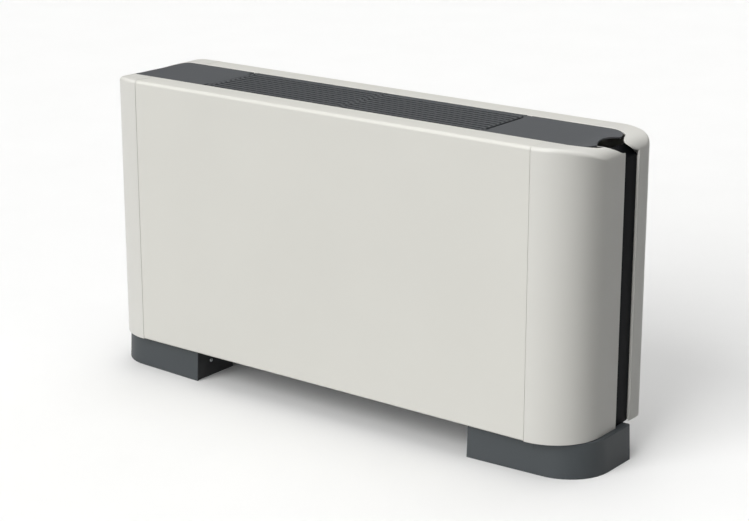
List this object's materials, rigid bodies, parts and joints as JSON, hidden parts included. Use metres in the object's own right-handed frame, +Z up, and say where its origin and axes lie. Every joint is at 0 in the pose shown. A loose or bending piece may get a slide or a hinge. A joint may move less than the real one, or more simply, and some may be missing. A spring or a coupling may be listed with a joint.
{
  "type": "floor standing fan coil unit",
  "caption": "Low wide floor standing fan coil cabinet on two plinth feet, with a long slatted top outlet, hinged end flaps, rounded end mouldings and twin fans inside.",
  "frame": {"origin": "on the floor, under the middle of the cabinet", "axes": "+X along the cabinet to its right end seen from the front, +Y towards the wall, +Z up"},
  "size_m": [1.0068, 0.226, 0.53],
  "materials": {
    "white_paint": "satin warm white paint",
    "white_moulding": "satin warm white moulding",
    "dark_moulding": "matt dark grey moulding",
    "black_insert": "matt near black",
    "black_moulding": "matt black",
    "galvanised": "spangled zinc",
    "dark_steel": "dark paint",
    "fins": "bare fins",
    "copper": "dull copper",
    "brass": "turned brass",
    "grey_moulding": "matt grey",
    "knob": "satin light grey"
  },
  "bodies": {
    "casing": {"front_panel": "white_paint", "rear_top_rail": "white_paint", "right_side_moulding": "white_moulding", "left_side_moulding": "white_moulding", "right_outlet_grille": "dark_moulding", "left_outlet_grille": "dark_moulding", "right_foot_cover": "dark_moulding", "left_foot_cover": "dark_moulding", "right_channel_insert": "black_insert", "left_channel_insert": "black_insert", "right_fan_housing": "black_moulding", "left_fan_housing": "black_moulding", "drip_tray": "black_moulding", "auxiliary_tray": "black_moulding", "right_filter_guide": "black_moulding", "left_filter_guide": "black_moulding", "cable_gland": "black_moulding", "back_panel": "galvanised", "right_frame_side": "galvanised", "left_frame_side": "galvanised", "fan_deck": "galvanised", "motor_cradle": "galvanised", "right_coil_plate": "galvanised", "left_coil_plate": "galvanised", "right_flap_pin": "galvanised", "left_flap_pin": "galvanised", "right_foot_bracket": "dark_steel", "left_foot_bracket": "dark_steel", "fan_motor": "dark_steel", "motor_capacitor": "dark_steel", "coil": "fins", "supply_header": "copper", "return_header": "copper", "air_vent": "brass", "control_box": "grey_moulding", "control_cover": "grey_moulding"},
    "fan_rotor": {"fan_shaft": "galvanised", "right_fan_wheel": "black_moulding", "left_fan_wheel": "black_moulding"},
    "right_flap": {"right_access_flap": "dark_moulding"},
    "left_flap": {"left_access_flap": "dark_moulding"},
    "filter": {"air_filter": "black_moulding"},
    "speed_control": {"speed_knob": "knob"},
    "thermostat_control": {"thermostat_knob": "knob"}
  },
  "joints": [
    {"name": "fan_spin", "type": "hinge", "parent": "casing", "child": "fan_rotor", "pos_m": [0, 0, 0.158], "axis": [1, 0, 0], "continuous": true},
    {"name": "right_flap_hinge", "type": "hinge", "parent": "casing", "child": "right_flap", "pos_m": [0.2873, 0, 0.525], "axis": [0, -1, 0], "range_deg": [0, 100]},
    {"name": "left_flap_hinge", "type": "hinge", "parent": "casing", "child": "left_flap", "pos_m": [-0.2873, 0, 0.525], "axis": [0, 1, 0], "range_deg": [0, 100]},
    {"name": "filter_slide", "type": "slide", "parent": "casing", "child": "filter", "axis": [0, 0, -1], "range_m": [0, 0.045]},
    {"name": "speed_knob_turn", "type": "hinge", "parent": "casing", "child": "speed_control", "pos_m": [0.3148, 0, 0.49], "axis": [0, 0, -1], "range_deg": [0, 120]},
    {"name": "thermostat_knob_turn", "type": "hinge", "parent": "casing", "child": "thermostat_control", "pos_m": [0.3668, 0, 0.49], "axis": [0, 0, -1], "range_deg": [0, 270]}
  ]
}
